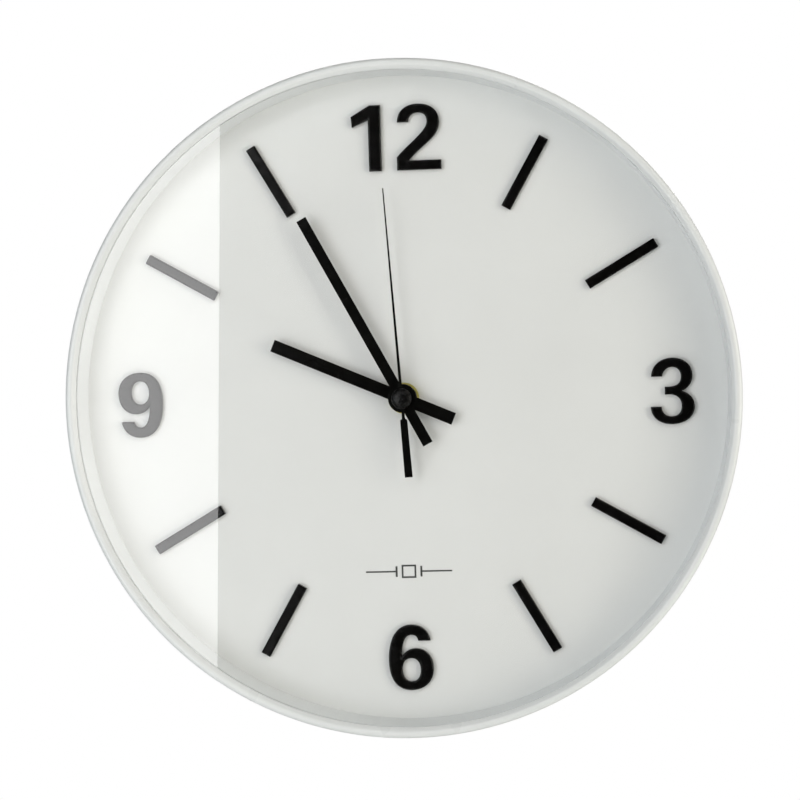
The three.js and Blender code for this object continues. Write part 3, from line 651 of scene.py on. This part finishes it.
def crystal_symbol():
    """A plain printed mark below the centre: the circuit symbol of a quartz crystal, with a body
    between two plates and a lead on each side."""
    body_x, body_y, body_line = 3.3, 3.0, 0.8
    plate_x, plate_y, plate_line = 5.6, 2.4, 0.45
    lead_end, lead_line = 19.5, 0.35
    shapes = []
    for side in (-1, 1):
        start, end = sorted((side * plate_x, side * lead_end))
        shapes.append([rectangle(start, end, -lead_line, lead_line)])
        middle_x = side * plate_x
        shapes.append([rectangle(middle_x - plate_line, middle_x + plate_line, -plate_y, plate_y)])
    outer = rectangle(-body_x, body_x, -body_y, body_y)
    inner_x, inner_y = body_x - body_line, body_y - body_line
    shapes.append([outer, rectangle(-inner_x, inner_x, -inner_y, inner_y)])
    rear, front = dial_front + 0.01, dial_front + 0.09
    for i, outlines in enumerate(shapes):
        piece = plate(f"mark_{i}", outlines, rear, front, 0.02, True, 0.0, MARK_PLACE)
        publish(piece, "case", "gloss_black", printed_black)


crystal_symbol()


# ---- Hands -------------------------------------------------------------------------------------

HOUR_ANGLE, MINUTE_ANGLE, SECOND_ANGLE = 293.5, 332, 356.5
HUB_RADIUS = 6.4


def hand_outline(pointer, tail, hub):
    """A hand pointing to 12. pointer and tail are (half width, height) points on its right side,
    from the tip to the hub and from the hub to the tail's end."""
    top = math.degrees(math.acos(pointer[-1][0] / hub))
    bottom = math.degrees(math.acos(tail[0][0] / hub))
    right = [Vector(p) for p in pointer[:-1]]
    right += arc(hub, top, -bottom, 24)
    right += [Vector(p) for p in tail[1:]]
    left = [Vector((-p.x, p.y)) for p in reversed(right)]
    return right + left


def publish_hand(name, node, body, outline, hole, angle, edge):
    """A hand of sheet metal, turned clockwise from 12 by an angle in degrees."""
    rear, front = depths(node)
    turn = math.radians(-angle)
    piece = plate(name, [outline, circle(hole)], rear, front, edge, False, turn)
    publish(piece, body, "hand_black", hand_black, node)


def bar_hand(length, tail, width):
    """The outline of a plain straight hand with a round hub."""
    half = width / 2
    return hand_outline([(half, length), (half, 0)], [(half, 0), (half, -tail)], HUB_RADIUS)


hour_outline = bar_hand(63.4, 24.6, 5.6)
minute_outline = bar_hand(92, 23.3, 4.7)
second_pointer = [(0.25, 93.9), (0.65, 0)]
second_tail = [(0.6, 0), (0.7, -9), (1.6, -9.6), (1.75, -35.2)]
second_outline = hand_outline(second_pointer, second_tail, 3.5)
ARBOR_HOLE = 0.85
HANDS = {
    "hour_blade": ("hour_hand", "hour_train", hour_outline, 3.1, HOUR_ANGLE, 0.18),
    "minute_blade": ("minute_hand", "minute_train", minute_outline, 2.0, MINUTE_ANGLE, 0.18),
    "second_blade": ("second_hand", "seconds_train", second_outline, ARBOR_HOLE, SECOND_ANGLE, 0.12),
}
for blade, details in HANDS.items():
    publish_hand(blade, *details)

cap_rear, cap_front = depths("second_hand_cap")
cap_radius = half_width("second_hand_cap")


def cap_profile():
    """A low dome with a short straight edge, hollow underneath for the arbor."""
    shoulder = cap_rear + 0.5
    roof = cap_front - 0.8
    dome = [
        (cap_radius * math.cos(a), shoulder + (cap_front - shoulder) * math.sin(a))
        for a in (math.pi / 2 * i / 20 for i in range(21))
    ]
    under = [(0, roof), (ARBOR_HOLE, roof), (ARBOR_HOLE, cap_rear)]
    edge = [(cap_radius - 0.2, cap_rear), (cap_radius, cap_rear + 0.2)]
    return under + edge + dome[:-1] + [(0, cap_front)]


cap = lathe("hub_dome", cap_profile(), 96, False)
publish(cap, "seconds_train", "hand_black", satin_black, "second_hand_cap")


# ---- Brass fixing at the centre ----------------------------------------------------------------

THREAD_RADIUS = 3.9
THREAD_DEPTH = 0.35
THREAD_PITCH = 0.75
THREAD_HOLE = 4.2
BUSHING_BORE = 3.1
FLANGE_RADIUS = 6
FLANGE_THICKNESS = 0.8


def bushing_profile():
    """A flanged tube with thread crests along its outside."""
    rear, front = depths("threaded_bushing")
    thread_rear = rear + FLANGE_THICKNESS
    root = THREAD_RADIUS - THREAD_DEPTH
    profile = [(BUSHING_BORE, rear), (FLANGE_RADIUS, rear), (FLANGE_RADIUS, thread_rear)]
    for i in range(int((front - thread_rear) / THREAD_PITCH)):
        base = thread_rear + i * THREAD_PITCH
        profile.append((root, base + 0.05))
        profile.append((THREAD_RADIUS, base + THREAD_PITCH / 2))
    return profile + [(root, front - 0.3), (root - THREAD_DEPTH, front), (BUSHING_BORE, front)]


def ring(name, outline, node, slot, material, edge):
    """A flat piece on the thread, as thick as its CAD node."""
    rear, front = depths(node)
    piece = plate(name, [outline, circle(THREAD_HOLE)], rear, front, edge)
    publish(piece, "case", slot, material, node)


publish(lathe("bushing_tube", bushing_profile(), 64), "case", "brass", brass, "threaded_bushing")
ring("washer_disc", circle(half_width("nut_washer")), "nut_washer", "brass", brass, 0.12)
nut_corner = half_width("brass_nut")
nut_corners = [(p.x, p.y, 0.3) for p in circle(nut_corner, steps=6)]
ring("nut_hexagon", rounded(nut_corners), "brass_nut", "brass", brass, 0.25)
ring("gasket_ring", circle(half_width("rubber_gasket")), "rubber_gasket", "rubber", rubber, 0.25)


# ---- Case body, seen from behind ----------------------------------------------------------------

body_rear, body_front = depths("case_body")
body_radius = half_width("case_body")
SKIRT_RADIUS = 148.4
SKIRT_INSIDE = 146.0
FLOOR_THICKNESS = 2.0
RIB_DEPTH = 6.0
RIB_HALF = 1.0
RIBS = 8
HUB_RIB = 46.0
WINDOW_HALF = 30.5
HANGER_Y = 113.0
SCREW_X = 22.0
POST_RADIUS = 4.0
SCREW_HOLE = 1.6
hanger_rear, hanger_front = depths("hanger_plate")


def case_back():
    """The rear shell: skirt, floor, ribs, screw posts and the movement's window."""
    floor_rear = body_front - FLOOR_THICKNESS
    profile = [
        (0, floor_rear),
        (SKIRT_INSIDE - 0.6, floor_rear),
        (SKIRT_INSIDE + 0.4, floor_rear - 1.0),
        (SKIRT_INSIDE + 0.05, body_rear + 0.2),
        (SKIRT_INSIDE + 0.3, body_rear),
        (SKIRT_RADIUS - 0.5, body_rear),
        (SKIRT_RADIUS, body_rear + 0.5),
        (body_radius, body_front - 0.5),
        (body_radius - 0.4, body_front),
        (0, body_front),
    ]
    back = lathe("case_back", profile, SEGMENTS, False)
    rib_rear = floor_rear - RIB_DEPTH
    sunk = floor_rear + 0.5
    hub = [circle(HUB_RIB + 2 * RIB_HALF, steps=128), circle(HUB_RIB, steps=128)]
    combine(back, plate("hub_rib", hub, rib_rear, sunk, 0.1), "UNION")
    spoke = [rectangle(HUB_RIB + RIB_HALF, SKIRT_INSIDE + 0.6, -RIB_HALF, RIB_HALF)]
    for i in range(RIBS):
        turn = 2 * math.pi * (i + 0.5) / RIBS
        combine(back, plate("rib", spoke, rib_rear, sunk, 0.1, False, turn), "UNION")
    for x in (-SCREW_X, SCREW_X):
        post = [circle(POST_RADIUS, x, HANGER_Y), circle(SCREW_HOLE, x, HANGER_Y)]
        combine(back, plate("post", post, hanger_front + 0.3, sunk, 0.1), "UNION")
    half = WINDOW_HALF
    window_rear, window_front = 8, 30
    window = block("window", -half, half, -half, half, window_rear, window_front, 0.05, 4)
    combine(back, window, "DIFFERENCE")
    return soften(back, 0.25)


publish(case_back(), "case", "white_plastic", white_plastic, "case_body")


def keyhole_outline(head_y, head_radius, slot_y, slot_half):
    """A round hole for a screw's head, open at the top to a narrow slot for its shank."""
    flank = math.degrees(math.asin(slot_half / head_radius))
    head = arc(head_radius, 90 + flank, 450 - flank, 48, 0, head_y)
    return head + arc(slot_half, 0, 180, 20, 0, slot_y)


hanger_outlines = [
    rectangle(-30, 30, HANGER_Y - 11, HANGER_Y + 11, 4),
    keyhole_outline(HANGER_Y - 3.5, 4.6, HANGER_Y + 4, 2.3),
    circle(1.8, -SCREW_X, HANGER_Y, 32),
    circle(1.8, SCREW_X, HANGER_Y, 32),
]
hanger = plate("hanger_steel", hanger_outlines, hanger_rear, hanger_front, 0.2)
publish(hanger, "case", "steel", steel, "hanger_plate")


def screw(name, node):
    """A pan head with a cross recess, and a plain shank."""
    x, y = middle(node)
    head_rear, tip = depths(node)
    seat = hanger_rear - 0.3
    head_height = seat - head_rear
    head_radius, shank_radius = 3.1, 1.3
    quarter = (math.radians(90 * i / 8) for i in range(1, 8))
    head = [(head_radius * math.sin(a), seat - head_height * math.cos(a)) for a in quarter]
    shank = [(head_radius, seat), (shank_radius, seat), (shank_radius, tip - 1.2), (0, tip)]
    profile = [(0, head_rear)] + head + shank
    piece = lathe(name, profile, 48, False, Matrix.Translation(place(x, y, 0)))
    slot = [rectangle(-1.6, 1.6, -0.3, 0.3)]
    for degrees in (25, 115):
        turn = math.radians(degrees)
        cross = plate("cross", slot, head_rear - 1, head_rear + 0.9, 0.02, False, turn, (x, y))
        combine(piece, cross, "DIFFERENCE")
    publish(piece, "case", "steel", steel, node)


screw("screw_left", "hanger_screw_left")
screw("screw_right", "hanger_screw_right")


# ---- Movement housing, battery and knob ----------------------------------------------------------

MOVEMENT_HALF = 28.0
WALL = 1.5
PLATE = 1.2
BAY_TOP = -11.3
BAY_WALL = 1.0
INNER = MOVEMENT_HALF - WALL
rear_housing_rear, rear_housing_top = depths("movement_rear_housing")
front_housing_rear, front_housing_front = depths("movement_front_housing")
knob_x, knob_y = middle("setting_knob")


def housing_shell(name, rear, front, hollow_rear, hollow_front):
    """One half of the movement's housing."""
    half = MOVEMENT_HALF
    shell = block(name, -half, half, -half, half, rear, front, 0.45, 3)
    hollow = block("hollow", -INNER, INNER, -INNER, INNER, hollow_rear, hollow_front, 0.02, 1.5)
    return combine(shell, hollow, "DIFFERENCE")


def rear_housing():
    """The half with the open battery bay, the knob's collar and three grips."""
    inner_rear = rear_housing_rear + PLATE
    split = front_housing_rear - 0.3
    shell = housing_shell("movement_back", rear_housing_rear, split, inner_rear, split + 5)
    bay_half, bay_back = 25.0, BAY_TOP + BAY_WALL
    sunk = inner_rear - 0.4
    wall = block("bay_wall", -bay_half, bay_half, BAY_TOP, bay_back, sunk, rear_housing_top, 0.05)
    combine(shell, wall, "UNION")
    mouth = block("mouth", -INNER, INNER, -INNER, BAY_TOP, -5, inner_rear + 0.3, 0.02)
    combine(shell, mouth, "DIFFERENCE")
    boss = [circle(7, knob_x, knob_y), circle(5.6, knob_x, knob_y)]
    combine(shell, plate("boss", boss, 1.6, sunk, 0.1), "UNION")
    shaft_hole = plate("shaft_hole", [circle(1.5, knob_x, knob_y)], -1, inner_rear + 1, 0.02)
    combine(shell, shaft_hole, "DIFFERENCE")
    grip_half, grip_y = 3.2, 23.2
    grip_rear, grip_front = rear_housing_rear - 0.5, rear_housing_rear + 0.5
    for x in (-9, 0, 9):
        left, right = x - grip_half, x + grip_half
        grip = block("grip", left, right, grip_y, grip_y + 1, grip_rear, grip_front, 0.05)
        combine(shell, grip, "UNION")
    return soften(shell, 0.15)


publish(rear_housing(), "case", "movement_black", movement_black, "movement_rear_housing")


def front_housing():
    """The half that the threaded bushing passes through."""
    rear, front = front_housing_rear, front_housing_front
    face_rear = front - PLATE
    shell = housing_shell("movement_face", rear, front, rear - 5, face_rear)
    hole = plate("thread_hole", [circle(THREAD_HOLE)], face_rear - 1, front + 1, 0.02)
    return soften(combine(shell, hole, "DIFFERENCE"), 0.15)


publish(front_housing(), "case", "movement_black", movement_black, "movement_front_housing")


def battery_cell():
    """A cylindrical cell on its side: a plain sleeve with a coloured band, steel ends and a nub."""
    low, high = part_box("battery")
    centre = (low + high) / 2
    half = (high.x - low.x) / 2 / MM
    radius = (high.z - low.z) / 2 / MM
    nub = 2.6
    shoulder = half - 1.4
    band_start = shoulder - 13
    flat_end = [
        (0, -half),
        (radius - 1.6, -half),
        (radius - 1.3, -half + 0.3),
        (radius - 0.9, -half + 0.1),
    ]
    sleeve = [
        (radius - 0.3, -half + 0.3),
        (radius, -half + 0.9),
        (radius, band_start),
        (radius, shoulder - 0.8),
        (radius - 0.25, shoulder - 0.2),
        (radius - 0.9, shoulder),
    ]
    nub_end = [
        (radius - 1.2, shoulder - 0.35),
        (nub + 0.4, shoulder - 0.35),
        (nub, shoulder),
        (nub, half - 0.3),
        (nub - 0.3, half),
        (0, half),
    ]
    turn = Matrix.Rotation(math.radians(90), 4, "Z")
    profile = flat_end + sleeve + nub_end
    piece = lathe("battery_cell", profile, 96, False, Matrix.Translation(centre) @ turn)
    for material in (steel, cell_green, cell_band):
        piece.data.materials.append(material)
    for face in piece.data.polygons:
        along = (face.center.x - centre.x) / MM
        away = math.hypot(face.center.y - centre.y, face.center.z - centre.z) / MM
        if away > radius - 0.7:
            face.material_index = 2 if along > band_start else 1
    return piece


publish(battery_cell(), "battery", "cell_sleeve", cell_green, "battery")


def setting_knob():
    """A scalloped, dished wheel on a shaft that carries the pinion."""
    knob_rear, knob_top = depths("setting_knob")
    knob_radius, notches, notch_depth = 5.0, 20, 0.35
    knob_front = rear_housing_rear - 0.4
    scallops = []
    for i in range(240):
        angle = 2 * math.pi * i / 240
        notch = notch_depth * abs(math.sin(angle * notches / 2)) ** 0.6
        scallops.append(Vector((math.cos(angle), math.sin(angle))) * (knob_radius - notch))
    piece = plate("knob_wheel", [scallops], knob_rear, knob_front, 0.2, False, 0.0, (knob_x, knob_y))
    dish = plate("dish", [circle(3.4, knob_x, knob_y)], knob_rear - 1, knob_rear + 0.5, 0.02)
    combine(piece, dish, "DIFFERENCE")
    shaft = plate("shaft", [circle(1.2, knob_x, knob_y, 32)], knob_front - 0.5, knob_top - 1, 0.05)
    combine(piece, shaft, "UNION")
    pinion_teeth, tip_radius, root_radius = 12, 2.43, 1.75
    pitch = 2 * math.pi / pinion_teeth
    outline = []
    for i in range(pinion_teeth):
        for radius, offset in ((tip_radius, 0.5), (root_radius, 1.0)):
            angle = math.radians(300) + (i + offset) * pitch
            outline.append(Vector((math.cos(angle), math.sin(angle))) * radius)
    pinion = plate("pinion", [outline], knob_top - 1.2, knob_top, 0.05, False, 0.0, (knob_x, knob_y))
    return combine(piece, pinion, "UNION")


publish(setting_knob(), "setting_train", "gear_plastic", acetal, "setting_knob")


def contact(name, node):
    """A flat spring contact at one end of the cell."""
    low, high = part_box(node)
    rear, front = depths(node)
    piece = block(name, low.x / MM, high.x / MM, low.z / MM, high.z / MM, rear, front, 0.1)
    publish(piece, "case", "steel", steel, node)


contact("contact_tab_right", "contact_positive")
contact("contact_tab_left", "contact_negative")


# ---- Works inside the movement: CAD shapes with finished materials ------------------------------

WORKS = {
    "circuit_board": laminate,
    "sealed_chip": movement_black,
    "quartz_can": steel,
    "stator": steel,
    "coil_bobbin": acetal,
    "coil_winding": copper_wire,
    "rotor_pinion": acetal,
    "rotor_magnet": steel,
    "intermediate_wheel": acetal,
    "seconds_wheel": acetal,
    "third_wheel": acetal,
    "centre_wheel": acetal,
    "motion_wheel": acetal,
    "hour_wheel": acetal,
}
for node, material in WORKS.items():
    target = frame["nodes"][node]
    target.data.materials.clear()
    target.data.materials.append(material)


# ---- Stage, light and camera ---------------------------------------------------------------------

FLOOR_Z = -0.62
FLOOR_RADIUS = 1.4
AMBIENT = 0.1
BACKDROP = 0.6
BACKDROP_FROM, BACKDROP_FULL = 0.2, 0.8
FRONT_BOX_EDGE = -0.272
FRONT_BOX_WIDTH = 0.5
FRONT_BOX_HEIGHT = 1.1
FRONT_BOX_RADIANCE = 3.75
FRONT_BOX_TILT = math.radians(2.1)
CAMERA_DISTANCE = 1.05
CAMERA_AZIMUTH = math.radians(6.0)
CAMERA_ELEVATION = math.radians(1.5)
CAMERA_ROLL = math.radians(1.7)
FOCAL_MM = 107.4
SENSOR_MM = 36.0
AIM_X, AIM_Z = 0.0005, -0.00025

NEUTRAL = (1, 1, 1)
COOL = (0.92, 0.97, 1)
WARM = (1, 0.95, 0.84)

# Softboxes round the clock, all turned to its centre: degrees to the right and up, metres away,
# width and height, radiance and colour.
SOFTBOXES = {
    "left_key": (-46, 0, 1.5, 0.6, 0.9, 2.2, COOL),
    "right_key": (40, 0, 1.5, 0.45, 0.9, 2.2, WARM),
    "right_side": (58, 0, 1.5, 0.45, 0.9, 5.0, WARM),
    "top_right": (45, 40, 1.5, 0.6, 0.6, 2.35, WARM),
    "top": (0, 30, 1.5, 0.9, 0.45, 1.9, NEUTRAL),
    "bottom": (0, -32, 1.0, 0.5, 0.3, 0.4, NEUTRAL),
    "right_edge": (82, 5, 1.6, 0.5, 0.9, 4.5, NEUTRAL),
    "behind_left": (-165, 25, 1.6, 0.7, 0.7, 2.6, NEUTRAL),
    "behind_right": (160, 30, 1.6, 0.7, 0.7, 3.4, NEUTRAL),
}

front_plane = -bezel_front * MM


def floor():
    bm = bmesh.new()
    centre = Matrix.Translation((0, 0, FLOOR_Z))
    bmesh.ops.create_circle(bm, cap_ends=True, segments=128, radius=FLOOR_RADIUS, matrix=centre)
    piece = to_object(bm, "studio_floor")
    piece.data.materials.append(
        surface("pale_floor", linear(232, 232, 230), linear(228, 228, 226), 200, 4, 0.05, (0.6, 0.75))
    )


def area_light(name, position, target, width, height, radiance, colour, tilt=0.0):
    """A softbox turned to a target and tilted about its own axis."""
    light = bpy.data.lights.new(name, "AREA")
    light.shape = "RECTANGLE"
    light.size = width
    light.size_y = height
    light.energy = radiance * math.pi * width * height
    light.color = colour
    lamp = bpy.data.objects.new(name, light)
    bpy.context.scene.collection.objects.link(lamp)
    aim = Vector(target) - Vector(position)
    turn = aim.to_track_quat("-Z", "Y").to_matrix().to_4x4() @ Matrix.Rotation(-tilt, 4, "Z")
    lamp.matrix_world = Matrix.Translation(position) @ turn


def world():
    """White behind the object. Other rays find little light in front of it and more behind it."""
    scene_world = bpy.data.worlds.new("studio")
    scene_world.use_nodes = True
    tree = scene_world.node_tree
    tree.nodes.clear()
    path = tree.nodes.new("ShaderNodeLightPath")
    coordinates = tree.nodes.new("ShaderNodeTexCoord")
    split = tree.nodes.new("ShaderNodeSeparateXYZ")
    behind = tree.nodes.new("ShaderNodeMapRange")
    behind.inputs["From Min"].default_value = BACKDROP_FROM
    behind.inputs["From Max"].default_value = BACKDROP_FULL
    behind.inputs["To Max"].default_value = BACKDROP
    ambient = tree.nodes.new("ShaderNodeMath")
    ambient.operation = "MULTIPLY_ADD"
    ambient.inputs[1].default_value = AMBIENT
    strength = tree.nodes.new("ShaderNodeMath")
    strength.operation = "MAXIMUM"
    background = tree.nodes.new("ShaderNodeBackground")
    background.inputs["Color"].default_value = (1, 1, 1, 1)
    output = tree.nodes.new("ShaderNodeOutputWorld")
    tree.links.new(coordinates.outputs["Generated"], split.inputs[0])
    tree.links.new(split.outputs["Y"], behind.inputs["Value"])
    tree.links.new(path.outputs["Is Diffuse Ray"], ambient.inputs[0])
    tree.links.new(behind.outputs["Result"], ambient.inputs[2])
    tree.links.new(path.outputs["Is Camera Ray"], strength.inputs[0])
    tree.links.new(ambient.outputs[0], strength.inputs[1])
    tree.links.new(strength.outputs[0], background.inputs["Strength"])
    tree.links.new(background.outputs["Background"], output.inputs["Surface"])
    bpy.context.scene.world = scene_world


def direction(azimuth, elevation):
    """From the clock towards a place seen this far to the right and up, in radians."""
    return Vector((
        math.sin(azimuth) * math.cos(elevation),
        -math.cos(azimuth) * math.cos(elevation),
        math.sin(elevation),
    ))


floor()
world()
box_x = FRONT_BOX_EDGE - FRONT_BOX_WIDTH / 2
area_light(
    "left_front",
    (box_x, front_plane - CAMERA_DISTANCE, 0),
    (box_x, 0, 0),
    FRONT_BOX_WIDTH,
    FRONT_BOX_HEIGHT,
    FRONT_BOX_RADIANCE,
    NEUTRAL,
    FRONT_BOX_TILT,
)
for name, (azimuth, elevation, distance, width, height, radiance, colour) in SOFTBOXES.items():
    position = direction(math.radians(azimuth), math.radians(elevation)) * distance
    area_light(name, position, (0, 0, 0), width, height, radiance, colour)


def camera():
    data = bpy.data.cameras.new("camera")
    data.lens = FOCAL_MM
    data.sensor_width = SENSOR_MM
    data.clip_start = 0.01
    view = bpy.data.objects.new("camera", data)
    bpy.context.scene.collection.objects.link(view)
    away = direction(CAMERA_AZIMUTH, CAMERA_ELEVATION)
    aim = Vector((AIM_X, front_plane, AIM_Z))
    turn = (-away).to_track_quat("-Z", "Y").to_matrix().to_4x4() @ Matrix.Rotation(-CAMERA_ROLL, 4, "Z")
    view.matrix_world = Matrix.Translation(aim + away * CAMERA_DISTANCE) @ turn
    bpy.context.scene.camera = view


camera()
bpy.context.scene.view_settings.view_transform = "Standard"
bpy.context.scene.cycles.use_denoising = True
